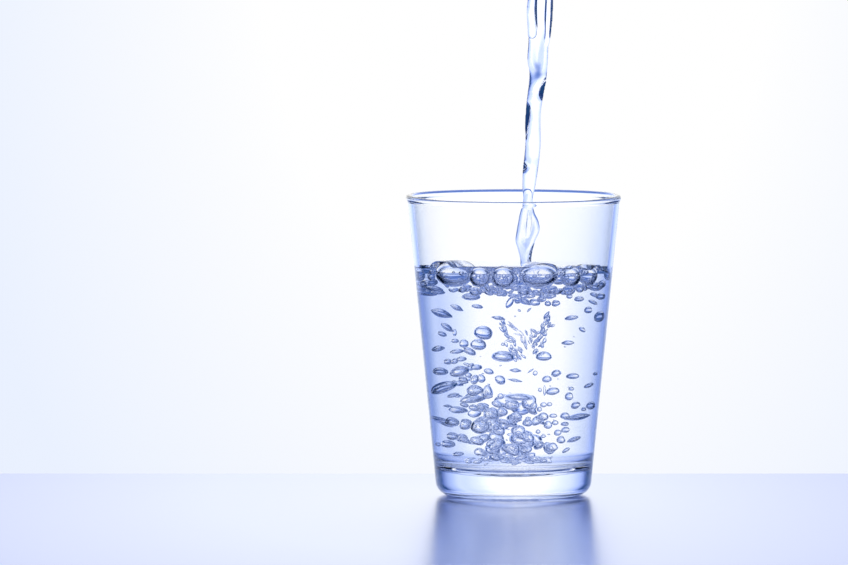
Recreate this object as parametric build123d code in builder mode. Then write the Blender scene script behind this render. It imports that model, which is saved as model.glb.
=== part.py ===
from build123d import *
import os
from math import asin, cos, sin, sqrt

# A clear tumbler of water with a jet pouring in and bubbles of air, in millimetres.
# The origin is the centre of the base, on the table, with +Z up and the front towards -Y.

# Tumbler: a pressed glass with a straight tapered wall and a heavy base.
HEIGHT = 112.0
RIM_DIAMETER = 80.0
OUTER_RADIUS_AT_TABLE = 28.5  # where the tapered wall, drawn on down, would meet the table
OUTER_TAPER = 0.1  # growth of the outer radius per millimetre of height
FLOOR_THICKNESS = 10.5
BORE_RADIUS_AT_FLOOR = 27.1  # the bore's taper drawn on down to the floor
BORE_TAPER = 0.108
HEEL_RADIUS = 5.4
BORE_CORNER_RADIUS = 5.0
BEAD_RADIUS = 1.2  # the fire-polished rim, a little proud of the wall
PUNT_RADIUS = 22.5  # the hollow under the base, inside the ring that touches the table
PUNT_DEPTH = 0.9

# Water.
WATER_LEVEL = 85.0
MENISCUS_RISE = 1.0
MENISCUS_WIDTH = 1.2
FILM_THICKNESS = 0.45  # the film of a dome, thick enough to hold as a solid
DOME_GAP = 0.1  # between a dome and the foot of the meniscus
DOME_SUNK = 2.0  # how far the middle of a dome's air lies under the water

# Refractive indices, for what the filled tumbler does to a bubble's place.
GLASS_INDEX = 1.52
WATER_INDEX = 1.333

# The jet's swellings and necks, from the water up: height, offset along X, width, depth along Y.
JET_SECTIONS = [
    (WATER_LEVEL, 4.7, 5.0, 4.8),
    (87.5, 4.6, 4.1, 4.2),
    (91.5, 4.4, 5.4, 4.2),
    (97.5, 5.1, 8.3, 4.6),
    (102.5, 5.5, 7.4, 5.0),
    (108.0, 5.2, 3.6, 4.8),
    (117.0, 5.8, 5.3, 4.2),
    (130.0, 7.1, 5.7, 4.6),
    (139.5, 7.0, 5.8, 4.4),
    (148.0, 7.9, 5.9, 5.2),
    (157.5, 9.1, 6.6, 4.6),
    (162.0, 8.9, 7.6, 4.8),
    (170.0, 9.3, 7.6, 4.4),
]
# Above its last section the jet is two strands side by side, each with a rounded head.
LEFT_STRAND = [(169.0, 8.0, 4.6, 4.0), (177.0, 6.7, 4.0, 3.8), (186.5, 7.3, 4.4, 3.8)]
RIGHT_STRAND = [(169.0, 10.8, 4.2, 3.8), (177.0, 12.6, 2.8, 3.6), (186.5, 13.0, 3.0, 3.4)]
STRAND_HEAD_RADIUS = 1.2

# Domes on the water, from left to right: name, offset along X, width and height of the air in them.
SURFACE_BUBBLES = [
    ("far_left", -30.6, 5.2, 5.0),
    ("left", -22.3, 13.2, 9.0),
    ("left_mid", -11.9, 7.4, 7.2),
    ("mid", -3.8, 8.0, 7.8),
    ("right_mid", 8.9, 13.4, 8.8),
    ("right", 19.5, 7.4, 7.2),
    ("right_wall", 26.6, 7.2, 7.0),
    ("far_right", 31.0, 4.4, 4.2),
]

# Rising bubbles: offset as seen from the front, height above the table, how far past the middle of the
# water the bubble lies, width as seen, height, and tilt in degrees.
RISING_BUBBLES = [
    (-15.9, 75.4, -16.0, 7.0, 3.4, 0.0),
    (-27.0, 68.7, -8.0, 8.2, 3.7, -17.0),
    (-11.4, 61.6, -6.0, 7.4, 5.9, -25.0),
    (-4.0, 53.1, -10.0, 8.9, 4.8, -4.0),
    (11.2, 53.1, -8.0, 5.9, 4.1, 0.0),
    (-20.0, 47.2, -12.0, 7.4, 4.8, 15.0),
    (22.0, 45.3, 0.0, 4.8, 2.6, 0.0),
    (-26.6, 40.9, -10.0, 9.4, 4.8, 20.0),
    (14.6, 40.1, -12.0, 5.2, 3.3, 10.0),
    (-3.0, 36.0, 4.0, 8.6, 6.0, -12.0),
    (23.9, 30.1, -8.0, 9.3, 3.0, 8.0),
    (-8.0, 27.5, -6.0, 8.2, 6.4, 25.0),
    (3.5, 21.5, -2.0, 9.6, 6.8, -15.0),
    (-24.4, 19.8, -4.0, 4.8, 3.4, 0.0),
]


def outer_radius(height):
    """Radius of the tapered wall at a height above the table."""
    return OUTER_RADIUS_AT_TABLE + OUTER_TAPER * height


def bore_radius(height):
    """Radius of the tapered bore at a height above the table."""
    return BORE_RADIUS_AT_FLOOR + BORE_TAPER * (height - FLOOR_THICKNESS)


def place_in_water(seen, height, beyond):
    """Real place of a point that shows `seen` off the axis, `beyond` past the middle of the water.

    A level line of sight keeps index times radius times the sine of its angle to the surface, so what
    it turns through at the wall and at the bore follows from how far off the axis it comes in.
    """
    wall, bore = outer_radius(height), bore_radius(height)
    at_wall = asin(seen / wall) - asin(seen / (GLASS_INDEX * wall))
    at_bore = asin(seen / (GLASS_INDEX * bore)) - asin(seen / (WATER_INDEX * bore))
    turn = at_wall + at_bore
    nearest = seen / WATER_INDEX
    return Vector(
        nearest * cos(turn) - beyond * sin(turn),
        nearest * sin(turn) + beyond * cos(turn),
        height,
    )


def real_width(seen, height, beyond, width):
    """Real width of a bubble that the filled tumbler shows `width` wide."""
    left = place_in_water(seen - width / 2, height, beyond)
    right = place_in_water(seen + width / 2, height, beyond)
    return (right - left).length


def place_on_water(across, width):
    """Centre of the air in a dome that floats just inside the meniscus, in the front half."""
    dome_radius = width / 2 + FILM_THICKNESS
    ring = bore_radius(WATER_LEVEL) - MENISCUS_WIDTH - DOME_GAP - dome_radius
    return Vector(across, -sqrt(ring**2 - across**2), WATER_LEVEL - DOME_SUNK)


def bubble_plane(centre, tilt=0.0):
    """Upright plane through a bubble's centre, facing the front, leaning sideways by `tilt`."""
    return Plane(centre, x_dir=(1, 0, 0), z_dir=(0, -1, 0)).rotated((0, 0, tilt))


def half_oval(width, height):
    """Outline of the right half of an upright oval: a tight arc at its side, run into gentle ones."""
    across, up = width / 2, height / 2
    side_radius = up**2 / across
    reach = across - side_radius
    cap_radius = (reach**2 + up**2 - side_radius**2) / (2 * (up - side_radius))
    slope = sqrt(reach**2 + (cap_radius - up) ** 2)
    join = (cap_radius * reach / slope, up - cap_radius + cap_radius * (cap_radius - up) / slope)
    mirrored_join = (join[0], -join[1])
    TangentArc((0, up), join, tangent=(1, 0))
    ThreePointArc(join, (across, 0), mirrored_join)
    TangentArc((0, -up), mirrored_join, tangent=(1, 0))
    Line((0, -up), (0, up))


def bubble_of_air(middle, width, height):
    """The air in a bubble, an oval turned about the plane's Y axis."""
    with BuildPart() as air:
        with BuildSketch(middle):
            with BuildLine():
                half_oval(width, height)
            make_face()
        revolve(axis=Axis(middle.origin, middle.y_dir))
    return air.part


def bore_corner_of(section):
    """The corner between the bore and the floor, in a section of the tumbler or of its water."""
    return section.vertices().sort_by_distance((BORE_RADIUS_AT_FLOOR, FLOOR_THICKNESS))[0]


# The tumbler: one section turned about the axis.
bead_centre = (RIM_DIAMETER / 2 - BEAD_RADIUS, HEIGHT - BEAD_RADIUS)
with BuildPart() as tumbler:
    with BuildSketch(Plane.XZ) as tumbler_section:
        with BuildLine():
            hollow = TangentArc((0, PUNT_DEPTH), (PUNT_RADIUS, 0), tangent=(1, 0))
            Polyline(
                hollow @ 1,
                (OUTER_RADIUS_AT_TABLE, 0),
                (outer_radius(bead_centre[1]), bead_centre[1]),
                (bore_radius(bead_centre[1]), bead_centre[1]),
                (BORE_RADIUS_AT_FLOOR, FLOOR_THICKNESS),
                (0, FLOOR_THICKNESS),
                hollow @ 0,
            )
        make_face()
        heel = tumbler_section.vertices().sort_by_distance((OUTER_RADIUS_AT_TABLE, 0))[0]
        fillet(heel, HEEL_RADIUS)
        fillet(bore_corner_of(tumbler_section), BORE_CORNER_RADIUS)
        with Locations(bead_centre):
            Circle(BEAD_RADIUS)
    revolve(axis=Axis.Z)
tumbler.part.label = "tumbler"

# The air in the water, of the domes and of the rising bubbles.
pockets = [
    bubble_of_air(bubble_plane(place_on_water(across, width)), width, height)
    for name, across, width, height in SURFACE_BUBBLES
]
for seen, level, beyond, width, height, tilt in RISING_BUBBLES:
    middle = bubble_plane(place_in_water(seen, level, beyond), tilt)
    pockets.append(bubble_of_air(middle, real_width(seen, level, beyond, width), height))

# The water: the bore's section up to the level, with a meniscus that climbs the glass, less the air.
meniscus_foot = (bore_radius(WATER_LEVEL) - MENISCUS_WIDTH, WATER_LEVEL)
meniscus_top = (bore_radius(WATER_LEVEL + MENISCUS_RISE), WATER_LEVEL + MENISCUS_RISE)
with BuildPart() as water:
    with BuildSketch(Plane.XZ) as water_section:
        with BuildLine():
            TangentArc(meniscus_foot, meniscus_top, tangent=(1, 0))
            Polyline(
                meniscus_top,
                (BORE_RADIUS_AT_FLOOR, FLOOR_THICKNESS),
                (0, FLOOR_THICKNESS),
                (0, WATER_LEVEL),
                meniscus_foot,
            )
        make_face()
        fillet(bore_corner_of(water_section), BORE_CORNER_RADIUS)
    revolve(axis=Axis.Z)
    add(pockets, mode=Mode.SUBTRACT)
water.part.label = "water"

# The jet: a loft through its swellings and necks, which stands on the water, and its two strands.
with BuildPart() as pour_stream:
    for strand in (JET_SECTIONS, LEFT_STRAND, RIGHT_STRAND):
        for height, offset, width, depth in strand:
            with BuildSketch(Plane((offset, 0, height))):
                Ellipse(width / 2, depth / 2)
        loft()
    heads = pour_stream.edges().sort_by(Axis.Z)[-2:]
    fillet(heads, STRAND_HEAD_RADIUS)
pour_stream.part.label = "pour_stream"

pieces = [tumbler, water, pour_stream]

# The domes: the part of each film that stands above the water, seated on the water's flat surface.
for name, across, width, height in SURFACE_BUBBLES:
    middle = bubble_plane(place_on_water(across, width))
    with BuildPart() as dome:
        with BuildSketch(middle):
            with BuildLine():
                half_oval(width + 2 * FILM_THICKNESS, height + 2 * FILM_THICKNESS)
            make_face()
            with BuildLine():
                half_oval(width, height)
            make_face(mode=Mode.SUBTRACT)
            with Locations((0, DOME_SUNK)):
                Rectangle(2 * width, 2 * height, align=(Align.CENTER, Align.MAX), mode=Mode.SUBTRACT)
        revolve(axis=Axis(middle.origin, middle.y_dir))
    dome.part.label = f"surface_bubble_{name}"
    pieces.append(dome)

os.makedirs("parts", exist_ok=True)
for piece in pieces:
    export_step(piece.part, f"parts/{piece.part.label}.step")
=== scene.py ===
"""Looks of a clear tumbler of water with a jet of water pouring in.

Shapes are worked out in millimetres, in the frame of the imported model: the origin on the table
under the tumbler's axis, +Z up, the front towards -Y. They become metres when a mesh is made.
"""

import logging
import math
import random
from dataclasses import dataclass, field
from enum import Enum
from typing import Any, ClassVar, Iterable, Mapping, Sequence

import bmesh
import bpy
import numpy as np
from mathutils import Matrix, Vector


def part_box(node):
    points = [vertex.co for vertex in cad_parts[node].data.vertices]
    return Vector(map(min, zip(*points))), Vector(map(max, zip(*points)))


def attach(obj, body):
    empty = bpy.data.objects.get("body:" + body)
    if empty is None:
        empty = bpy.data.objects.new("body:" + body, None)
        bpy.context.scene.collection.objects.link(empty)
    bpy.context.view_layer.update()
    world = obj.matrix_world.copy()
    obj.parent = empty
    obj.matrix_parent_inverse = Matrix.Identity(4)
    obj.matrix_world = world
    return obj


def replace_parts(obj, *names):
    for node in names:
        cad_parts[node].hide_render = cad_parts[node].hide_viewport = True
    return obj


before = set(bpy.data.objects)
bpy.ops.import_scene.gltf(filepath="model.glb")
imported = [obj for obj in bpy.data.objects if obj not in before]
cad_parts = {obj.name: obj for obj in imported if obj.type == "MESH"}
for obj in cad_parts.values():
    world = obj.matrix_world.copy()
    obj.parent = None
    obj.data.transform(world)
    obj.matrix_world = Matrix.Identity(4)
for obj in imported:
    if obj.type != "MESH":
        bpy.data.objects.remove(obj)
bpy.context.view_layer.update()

log = logging.getLogger("tumbler")

Point = tuple[float, float]  # radius and height of a point of a section

MM = 0.001  # metres in a millimetre
GLASS_INDEX = 1.52
WATER_INDEX = 1.333
OVERLAP = 0.06  # how far the water reaches into the glass, so that no film of air is left between
SHARP = math.radians(60)  # edges that turn further than this stay sharp
CORNER_STEPS = 14  # steps round a rounded corner
END_STEP = 0.25  # first and last step along a straight wall
SEEDS = 10**6  # how many seeds there are to pick a bubble's bends by


# Helpers ------------------------------------------------------------------------------------------


def linear(hex_colour: str) -> tuple[float, float, float, float]:
    """Turns an sRGB hex colour to the linear colour that Blender works in.

    Args:
        hex_colour: Six hex digits after a hash sign.

    Returns:
        Red, green, blue and an alpha of 1.
    """
    channels = [int(hex_colour[i : i + 2], 16) / 255 for i in (1, 3, 5)]
    red, green, blue = (
        c / 12.92 if c <= 0.04045 else ((c + 0.055) / 1.055) ** 2.4 for c in channels
    )
    return red, green, blue, 1.0


def add_node(
    tree: bpy.types.NodeTree, kind: str, links: Mapping[Any, Any] | None = None, **settings: Any
) -> Any:
    """Adds one node to a tree.

    Args:
        tree: Node tree that gets the node.
        kind: Blender's name for the kind of node, without the ShaderNode that it starts with.
        links: Input socket, by name or number, to the output socket or the value that it takes.
        **settings: Attributes of the node itself.

    Returns:
        The new node.
    """
    made = tree.nodes.new("ShaderNode" + kind)
    for name, value in settings.items():
        setattr(made, name, value)
    for socket, source in (links or {}).items():
        if isinstance(source, bpy.types.NodeSocket):
            tree.links.new(source, made.inputs[socket])
        else:
            made.inputs[socket].default_value = source
    return made


def box_mm(node: str) -> tuple[Vector, Vector]:
    """Lowest and highest corner of a CAD node, in millimetres."""
    low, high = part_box(node)
    return low / MM, high / MM


def nodes_named(start: str) -> list[str]:
    """CAD nodes whose name starts so."""
    return sorted(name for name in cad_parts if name.startswith(start))


@dataclass
class Shell:
    """Vertices in millimetres and faces, gathered until they become one mesh."""

    vertices: list[Sequence[float]] = field(default_factory=list)
    faces: list[Sequence[int]] = field(default_factory=list)

    def add(self, vertices: Iterable[Sequence[float]], faces: Iterable[Sequence[int]]) -> None:
        """Adds a closed shell, whose faces count its own vertices from nought."""
        first = len(self.vertices)
        self.vertices.extend(vertices)
        self.faces.extend([first + i for i in face] for face in faces)

    def object(self, name: str, material: bpy.types.Material) -> bpy.types.Object:
        """Makes the mesh, as an object of the scene."""
        mesh = bpy.data.meshes.new(name)
        mesh.from_pydata([Vector(v) * MM for v in self.vertices], [], self.faces)
        mesh.materials.append(material)
        made = bpy.data.objects.new(name, mesh)
        bpy.context.scene.collection.objects.link(made)
        return made

    def piece(self, name: str, material: bpy.types.Material, slot: str) -> bpy.types.Object:
        """Makes a piece with a smooth surface, and lets it ride on the root body.

        Args:
            name: Name of the piece.
            material: Its material.
            slot: The record's material slot for the piece; not used.

        Returns:
            The new object.
        """
        made = self.object(name, material)
        mesh = made.data
        mesh.shade_smooth()
        mesh.set_sharp_from_angle(angle=SHARP)
        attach(made, "root")
        log.info("%s: %d vertices, %d faces", name, len(mesh.vertices), len(mesh.polygons))
        return made


def lathe(outline: Sequence[Point], segments: int) -> Shell:
    """Turns an outline about the axis into a closed shell.

    Args:
        outline: Radius and height of each point, from one end on the axis to the other, the outside
            first.
        segments: Faces round the axis.

    Returns:
        The shell, with its faces turned outwards where the outline runs up the outside.
    """
    angles = [2 * math.pi * i / segments for i in range(segments)]
    vertices: list[tuple[float, float, float]] = [(0.0, 0.0, outline[0][1])]
    for radius, height in outline[1:-1]:
        vertices.extend((radius * math.cos(a), radius * math.sin(a), height) for a in angles)
    vertices.append((0.0, 0.0, outline[-1][1]))
    rings = len(outline) - 2
    top = len(vertices) - 1
    faces: list[Sequence[int]] = []
    for i in range(segments):
        j = (i + 1) % segments
        faces.append((0, 1 + j, 1 + i))
        for ring in range(rings - 1):
            low, high = 1 + ring * segments, 1 + (ring + 1) * segments
            faces.append((low + i, low + j, high + j, high + i))
        last = 1 + (rings - 1) * segments
        faces.append((last + i, last + j, top))
    return Shell(vertices, faces)


def straight(start: Point, end: Point, step: float) -> list[Point]:
    """Points along a straight wall, close together at its ends, so that it shades as straight.

    Args:
        start: Where it starts.
        end: Where it ends.
        step: About how far apart the points between are.

    Returns:
        The points, with both ends.
    """
    length = math.dist(start, end)
    near_end = min(END_STEP, length / 4)
    between = length - 2 * near_end
    count = max(2, round(between / step))
    ways = [0.0] + [near_end + between * i / count for i in range(count + 1)] + [length]
    return [
        (start[0] + (end[0] - start[0]) * w / length, start[1] + (end[1] - start[1]) * w / length)
        for w in ways
    ]


def rounded_corner(corner: Point, before: Point, after: Point, radius: float) -> list[Point]:
    """Arc that rounds a corner of an outline, tangent to both of its sides.

    Args:
        corner: The sharp corner.
        before: A point on the side that leads to it.
        after: A point on the side that leads away.
        radius: Radius of the arc.

    Returns:
        Points of the arc, from the first side to the second.
    """
    here = np.array(corner)
    back = np.array(before) - here
    on = np.array(after) - here
    back, on = back / np.linalg.norm(back), on / np.linalg.norm(on)
    half = math.acos(float(back @ on)) / 2
    middle = here + (back + on) / np.linalg.norm(back + on) * radius / math.sin(half)
    from_middle = here + back * radius / math.tan(half) - middle
    to_middle = here + on * radius / math.tan(half) - middle
    start = math.atan2(from_middle[1], from_middle[0])
    turn = (math.atan2(to_middle[1], to_middle[0]) - start + math.pi) % (2 * math.pi) - math.pi
    angles = [start + turn * i / CORNER_STEPS for i in range(CORNER_STEPS + 1)]
    return [(middle[0] + radius * math.cos(a), middle[1] + radius * math.sin(a)) for a in angles]


# Finishes -----------------------------------------------------------------------------------------


@dataclass(frozen=True)
class ClearFinish:
    """A clear material whose surface is ever so slightly wavy.

    Attributes:
        name: What the real material is, and how its surface was made.
        tint: sRGB colour of what comes through.
        index: Refractive index.
        wave_mm: Width of the surface's waves.
        wave_height_mm: Height of the waves.
    """

    name: str
    tint: str
    index: float
    wave_mm: float
    wave_height_mm: float

    def material(self) -> bpy.types.Material:
        """Makes the material."""
        made = bpy.data.materials.new(self.name)
        made.use_nodes = True
        tree = made.node_tree
        tree.nodes.clear()
        place = add_node(tree, "TexCoord")
        waves = add_node(
            tree,
            "TexNoise",
            {"Vector": place.outputs["Object"], "Scale": 1 / (self.wave_mm * MM), "Detail": 1.0},
        )
        bump = add_node(
            tree,
            "Bump",
            {"Height": waves.outputs[0], "Strength": 1.0, "Distance": self.wave_height_mm * MM},
        )
        clear = add_node(
            tree,
            "BsdfPrincipled",
            {
                "Base Color": linear(self.tint),
                "Roughness": 0.0,
                "IOR": self.index,
                "Transmission Weight": 1.0,
                "Normal": bump.outputs[0],
            },
        )
        add_node(tree, "OutputMaterial", {"Surface": clear.outputs[0]})
        return made


# Soda-lime glass, pressed in a mould and fire-polished: colourless, bright, with faint chill waves.
PRESSED_GLASS = ClearFinish("soda_lime_glass_pressed", "#FDFEFF", GLASS_INDEX, 14.0, 0.004)
# Fresh water, moving under a flat surface: as clear as the glass, and bends light less.
FRESH_WATER = ClearFinish("fresh_water", "#FEFEFF", WATER_INDEX, 6.0, 0.004)
# Water falling through air, drawn into ribs and ripples.
FALLING_WATER = ClearFinish("falling_water", "#FDFEFF", WATER_INDEX, 3.0, 0.05)


# The tumbler --------------------------------------------------------------------------------------


@dataclass
class Tumbler:
    """The pressed glass: a tapered wall on a heavy base, with a rounded rim. Sizes in millimetres.

    Attributes:
        dish_depth: How much lower the floor lies in the middle than at its edge.
        dish_ease: How softly the dish runs out towards that edge.
        front_flattening: How much of the bead's rise is missing at the front.
        flattening_growth: How fast that grows from the sides to the front.
        rim_flare: Height of the flares under the bead.
    """

    outer_radius_at_table: float = 28.5
    outer_taper: float = 0.1
    bore_radius_at_floor: float = 27.04
    bore_taper: float = 0.108
    floor_height: float = 9.9
    heel_radius: float = 5.4
    bore_corner_radius: float = 8.0
    bead_radius: float = 1.2
    punt_radius: float = 22.5
    punt_depth: float = 0.9
    dish_depth: float = 1.8
    dish_ease: float = 1.3
    front_flattening: float = 0.65
    flattening_growth: float = 1.4
    rim_flare: float = 1.8
    segments: int = 256
    wall_step: float = 7.0
    floor_points: int = 28
    punt_points: int = 12
    flare_points: int = 12
    bead_points: int = 21
    height: float = field(default_factory=lambda: box_mm("tumbler")[1].z)
    rim_radius: float = field(default_factory=lambda: box_mm("tumbler")[1].x)

    def outer_radius(self, height: float) -> float:
        """Radius of the outer wall at a height."""
        return self.outer_radius_at_table + self.outer_taper * height

    def bore_radius(self, height: float) -> float:
        """Radius of the bore at a height."""
        return self.bore_radius_at_floor + self.bore_taper * (height - self.floor_height)

    def bore_corner(self, into_glass: float = 0.0) -> list[Point]:
        """The rounded corner between the bore and the floor, from the bore to the floor.

        Args:
            into_glass: How far the corner is moved into the glass.

        Returns:
            Points of the arc.
        """
        floor = self.floor_height - into_glass
        radius = self.bore_radius_at_floor + into_glass
        up = 20.0  # any way up the bore, which is straight
        above = (radius + self.bore_taper * up, floor + up)
        rounding = self.bore_corner_radius + into_glass
        return rounded_corner((radius, floor), above, (0, floor), rounding)

    def floor(self, into_glass: float = 0.0) -> list[Point]:
        """The floor from the bore's corner to the middle, where it is dished."""
        start = self.bore_corner(into_glass)[-1]
        radii = np.linspace(start[0], 0, self.floor_points)
        dish = (1 - (radii / start[0]) ** 2) ** self.dish_ease
        return [(float(r), start[1] - self.dish_depth * float(d)) for r, d in zip(radii, dish)]

    def rim(self) -> list[Point]:
        """The rim's bead, with the flares by which it grows out of the outer wall and the bore."""
        across, up = self.rim_radius - self.bead_radius, self.height - self.bead_radius
        shares = np.linspace(0, 1, self.flare_points)[:-1]
        ease = shares**2 * (3 - 2 * shares)
        rise = up - self.rim_flare * (1 - shares)
        outside, inside = across + self.bead_radius, across - self.bead_radius
        out, back = outside - self.outer_radius(up), self.bore_radius(up) - inside
        flare = [(self.outer_radius(z) + out * e, z) for z, e in zip(rise, ease)]
        bead = [
            (across + self.bead_radius * math.cos(a), up + self.bead_radius * math.sin(a))
            for a in np.linspace(0, math.pi, self.bead_points)
        ]
        inner_flare = [(self.bore_radius(z) - back * e, z) for z, e in zip(rise, ease)]
        return flare + bead + inner_flare[::-1]

    def outline(self) -> list[Point]:
        """The section, from the middle of the base up the outside and down the bore."""
        curve = (self.punt_radius**2 + self.punt_depth**2) / (2 * self.punt_depth)
        punt = [
            (r, self.punt_depth - curve + math.sqrt(curve**2 - r**2))
            for r in np.linspace(0, self.punt_radius, self.punt_points)
        ]
        table_corner = (self.outer_radius_at_table, 0.0)
        up = 50.0  # any way up the outer wall, which is straight
        on_wall = (self.outer_radius(up), up)
        heel = rounded_corner(table_corner, (0, 0), on_wall, self.heel_radius)
        rim = self.rim()
        corner = self.bore_corner()
        wall = straight(heel[-1], rim[0], self.wall_step)
        bore = straight(rim[-1], corner[0], self.wall_step)
        return punt + heel + wall[1:] + rim[1:] + bore[1:] + corner[1:] + self.floor()[1:]

    def build(self) -> bpy.types.Object:
        """Makes the glass, which stands for the CAD model's coarser one."""
        shell = lathe(self.outline(), self.segments)
        bead = self.height - self.bead_radius
        for i, (x, y, z) in enumerate(shell.vertices):
            if z > bead:
                in_front = min(1.0, max(0.0, -self.flattening_growth * y / self.rim_radius))
                kept = 1 - self.front_flattening * in_front
                shell.vertices[i] = (x, y, bead + (z - bead) * kept)
        made = shell.piece("glass_body", PRESSED_GLASS.material(), "clear_glass")
        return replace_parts(made, "tumbler")


# Bubbles ------------------------------------------------------------------------------------------


def unit_sphere(subdivisions: int) -> tuple[np.ndarray, list[list[int]]]:
    """Vertices and faces of a unit sphere of even triangles, its faces turned inwards."""
    work = bmesh.new()
    bmesh.ops.create_icosphere(work, subdivisions=subdivisions, radius=1.0)
    vertices = np.array([v.co for v in work.verts])
    faces = [[v.index for v in reversed(f.verts)] for f in work.faces]
    work.free()
    return vertices, faces


class Fineness(Enum):
    """How finely a bubble is drawn: its sphere's subdivisions, and the width that asks for them."""

    LARGE = (4, 5.0)
    SMALL = (3, 1.3)
    TINY = (2, 0.0)

    @classmethod
    def subdivisions(cls, width: float) -> int:
        """Subdivisions for a bubble of some width."""
        return next(fine.value[0] for fine in cls if width > fine.value[1])


@dataclass
class Bubble:
    """One bubble of air: an oval that moving water has bent.

    Attributes:
        centre: Its middle.
        width: Its width across the view.
        height: Its height.
        tilt: How far it leans to the side, in degrees.
        depth: Its size from front to back, its width where nought is given.
        bend: How much its outline is bent, as a share of its size.
        flat_below: How much its underside is flattened, from 0 to 1.
        pointed: How much its two ends are drawn to a point, from 0 to 1.
        seed: Picks the bends.
    """

    centre: Vector
    width: float
    height: float
    tilt: float = 0.0
    depth: float = 0.0
    bend: float = 0.06
    flat_below: float = 0.25
    pointed: float = 0.0
    seed: int = 0

    # Waves round a bubble's wall and the share of each, in calm and, above some bend, rough water.
    CALM: ClassVar = ((1.6, 1.0), (2.4, 0.9), (3.3, 0.8), (4.8, 0.45), (6.6, 0.3))
    ROUGH: ClassVar = ((1.6, 1.0), (2.5, 1.0), (3.6, 0.9), (5.0, 0.55), (6.8, 0.3))
    ROUGH_FROM: ClassVar = 0.14
    SLIMMEST: ClassVar = 0.7  # how much of its thickness the very end of a pointed bubble loses

    @property
    def reach(self) -> float:
        """Half of its largest size."""
        return max(self.width, self.height, self.depth) / 2

    def clears(self, other: "Bubble", gap: float) -> bool:
        """Whether the wall of water between this bubble and another is thicker than a gap."""
        way = other.centre - self.centre
        if way.length > self.reach + other.reach + gap:
            return True
        direction = way.normalized()
        return way.length > self.extent(direction) + other.extent(direction) + gap

    def extent(self, direction: Vector) -> float:
        """How far it reaches from its middle in a direction."""
        turned = Matrix.Rotation(math.radians(self.tilt), 3, "Y") @ direction
        half = (self.width / 2, (self.depth or self.width) / 2, self.height / 2)
        return math.sqrt(sum((h * t) ** 2 for h, t in zip(half, turned))) * (1 + self.bend)

    def shell(self) -> tuple[np.ndarray, list[list[int]]]:
        """Vertices and faces of its wall, the faces turned into the air."""
        sphere, faces = unit_sphere(Fineness.subdivisions(self.width))
        draw = random.Random(self.seed)
        swell = np.zeros(len(sphere))
        for waves, share in self.ROUGH if self.bend > self.ROUGH_FROM else self.CALM:
            axis = Vector([draw.gauss(0, 1) for _ in range(3)]).normalized()
            swell += share * np.sin(waves * sphere @ np.array(axis) + draw.uniform(0, 2 * math.pi))
        shape = sphere * (1 + self.bend * swell / np.abs(swell).max())[:, None]
        shape[:, 2] -= self.flat_below * np.minimum(shape[:, 2], 0)
        slim = 1 - self.pointed * np.clip(np.abs(sphere[:, 0]), 0, 1) ** 2 * self.SLIMMEST
        shape[:, 1:] *= slim[:, None]
        shape *= np.array([self.width, self.depth or self.width, self.height]) / 2
        turn = np.array(Matrix.Rotation(math.radians(-self.tilt), 3, "Y"))
        return shape @ turn.T + np.array(self.centre), faces


@dataclass(frozen=True)
class Seen:
    """A rising bubble as it shows from the front.

    Attributes:
        across: Offset from the axis as the filled tumbler shows it.
        level: Height above the table.
        width: Width as shown.
        height: Height.
        tilt: Lean in degrees, the right side up.
        pointed: How much its ends are drawn to a point.
        bend: How much its outline is bent.
        beyond: How far past the middle of the water it lies, or None where any free depth will do.
    """

    across: float
    level: float
    width: float
    height: float
    tilt: float = 0.0
    pointed: float = 0.0
    bend: float = 0.06
    beyond: float | None = None


def bubbles_seen(*rows: tuple[float, ...]) -> list[Seen]:
    """Rising bubbles, from rows of their numbers."""
    return [Seen(*row) for row in rows]


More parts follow.
